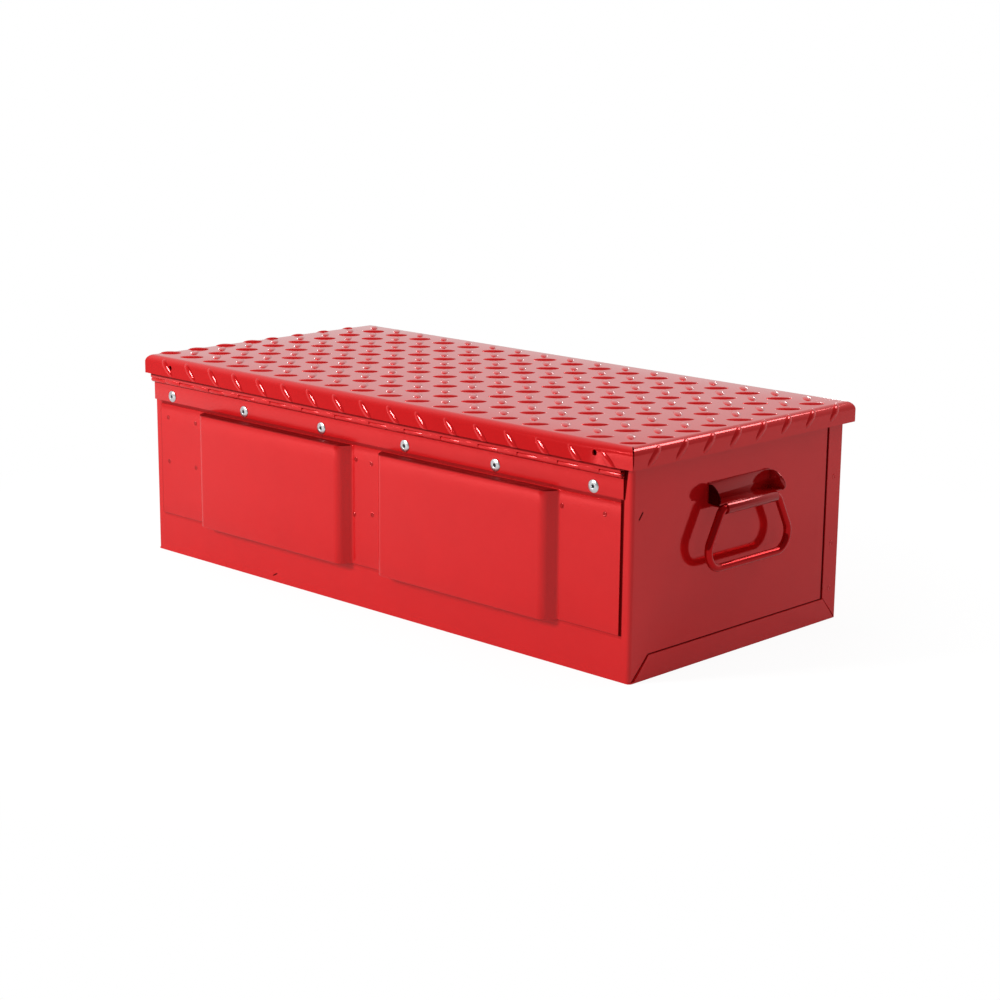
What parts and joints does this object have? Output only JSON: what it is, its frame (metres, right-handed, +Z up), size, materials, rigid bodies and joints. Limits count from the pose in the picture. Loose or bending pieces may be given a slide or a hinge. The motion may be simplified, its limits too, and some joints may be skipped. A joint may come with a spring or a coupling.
{
  "type": "tool chest",
  "caption": "Low steel tool chest with a hinged tread-plate lid, drop handles on its end walls, and drawers in its front.",
  "frame": {"origin": "centre of the bounding box's footprint, on the face the chest rests on", "axes": "+X along the chest to the end wall seen in the picture, +Y from the hinge to the drawers' side, +Z up"},
  "size_m": [0.7452, 0.3514, 0.225],
  "materials": {
    "red_powder_coat": "gloss",
    "tread_plate_red": "gloss",
    "drawer_red": "gloss",
    "zinc_plated_steel": "satin",
    "lock_chrome": "polished"
  },
  "bodies": {
    "chest": {"body_wrap": "red_powder_coat", "floor_pan": "red_powder_coat", "front_wall": "red_powder_coat", "rear_panel": "red_powder_coat", "center_post": "red_powder_coat", "left_partition": "red_powder_coat", "right_partition": "red_powder_coat", "shelf": "red_powder_coat", "slide_rails_lower_left": "zinc_plated_steel", "slide_rails_lower_right": "zinc_plated_steel", "slide_rails_upper_left": "zinc_plated_steel", "slide_rails_upper_right": "zinc_plated_steel", "hinge_leaf_body": "red_powder_coat", "hinge_pin": "zinc_plated_steel", "hinge_rivets": "zinc_plated_steel", "lock_barrel": "lock_chrome", "lock_nut": "zinc_plated_steel", "stay_studs_body": "zinc_plated_steel", "handle_bracket_left": "red_powder_coat", "handle_bracket_right": "red_powder_coat"},
    "lid": {"lid_plate": "tread_plate_red", "hinge_leaf_lid": "red_powder_coat", "lid_stiffeners": "red_powder_coat", "lock_strike": "red_powder_coat", "stay_brackets_lid": "red_powder_coat"},
    "lock": {"lock_plug": "lock_chrome", "lock_cam": "zinc_plated_steel"},
    "stay_lower_left": {"stay_arm_lower_left": "zinc_plated_steel", "stay_rivet_left": "zinc_plated_steel"},
    "stay_upper_left": {"stay_arm_upper_left": "zinc_plated_steel"},
    "bail_left": {"handle_bail_left": "red_powder_coat"},
    "stay_lower_right": {"stay_arm_lower_right": "zinc_plated_steel", "stay_rivet_right": "zinc_plated_steel"},
    "stay_upper_right": {"stay_arm_upper_right": "zinc_plated_steel"},
    "bail_right": {"handle_bail_right": "red_powder_coat"},
    "drawer_lower_left": {"drawer_tray_lower_left": "drawer_red", "drawer_front_lower_left": "drawer_red", "drawer_runners_lower_left": "zinc_plated_steel"},
    "drawer_lower_right": {"drawer_tray_lower_right": "drawer_red", "drawer_front_lower_right": "drawer_red", "drawer_runners_lower_right": "zinc_plated_steel"},
    "drawer_upper_left": {"drawer_tray_upper_left": "drawer_red", "drawer_front_upper_left": "drawer_red", "drawer_runners_upper_left": "zinc_plated_steel"},
    "drawer_upper_right": {"drawer_tray_upper_right": "drawer_red", "drawer_front_upper_right": "drawer_red", "drawer_runners_upper_right": "zinc_plated_steel"}
  },
  "joints": [
    {"name": "lid_hinge", "type": "hinge", "parent": "chest", "child": "lid", "pos_m": [0, -0.1637, 0.196], "axis": [1, 0, 0], "range_deg": [0, 100]},
    {"name": "stay_lower_left_pivot", "type": "hinge", "parent": "chest", "child": "stay_lower_left", "pos_m": [-0.3386, -0.01384, 0.18946], "axis": [1, 0, 0], "range_deg": [0, 100]},
    {"name": "stay_upper_left_pivot", "type": "hinge", "parent": "lid", "child": "stay_upper_left", "pos_m": [-0.3363, -0.01416, 0.20777], "axis": [1, 0, 0], "range_deg": [-100, 0]},
    {"name": "bail_left_swing", "type": "hinge", "parent": "chest", "child": "bail_left", "pos_m": [-0.367, -0.0054, 0.15], "axis": [0, 1, 0], "range_deg": [-8, 90]},
    {"name": "stay_lower_right_pivot", "type": "hinge", "parent": "chest", "child": "stay_lower_right", "pos_m": [0.3386, -0.01384, 0.18946], "axis": [1, 0, 0], "range_deg": [0, 100]},
    {"name": "stay_upper_right_pivot", "type": "hinge", "parent": "lid", "child": "stay_upper_right", "pos_m": [0.3363, -0.01416, 0.20777], "axis": [1, 0, 0], "range_deg": [-100, 0]},
    {"name": "bail_right_swing", "type": "hinge", "parent": "chest", "child": "bail_right", "pos_m": [0.367, -0.0054, 0.15], "axis": [0, -1, 0], "range_deg": [-8, 90]},
    {"name": "lock_turn", "type": "hinge", "parent": "chest", "child": "lock", "pos_m": [0, 0.1603, 0.186], "axis": [0, 1, 0], "range_deg": [0, 90]},
    {"name": "drawer_lower_left_slide", "type": "slide", "parent": "chest", "child": "drawer_lower_left", "axis": [0, 1, 0], "range_m": [0, 0.225]},
    {"name": "drawer_lower_right_slide", "type": "slide", "parent": "chest", "child": "drawer_lower_right", "axis": [0, 1, 0], "range_m": [0, 0.225]},
    {"name": "drawer_upper_left_slide", "type": "slide", "parent": "chest", "child": "drawer_upper_left", "axis": [0, 1, 0], "range_m": [0, 0.225]},
    {"name": "drawer_upper_right_slide", "type": "slide", "parent": "chest", "child": "drawer_upper_right", "axis": [0, 1, 0], "range_m": [0, 0.225]}
  ],
  "couplings": [
    {"joint": "stay_lower_left_pivot", "follows": "lid_hinge", "ratio": 1},
    {"joint": "stay_upper_left_pivot", "follows": "lid_hinge", "ratio": -1},
    {"joint": "stay_lower_right_pivot", "follows": "lid_hinge", "ratio": 1},
    {"joint": "stay_upper_right_pivot", "follows": "lid_hinge", "ratio": -1}
  ]
}
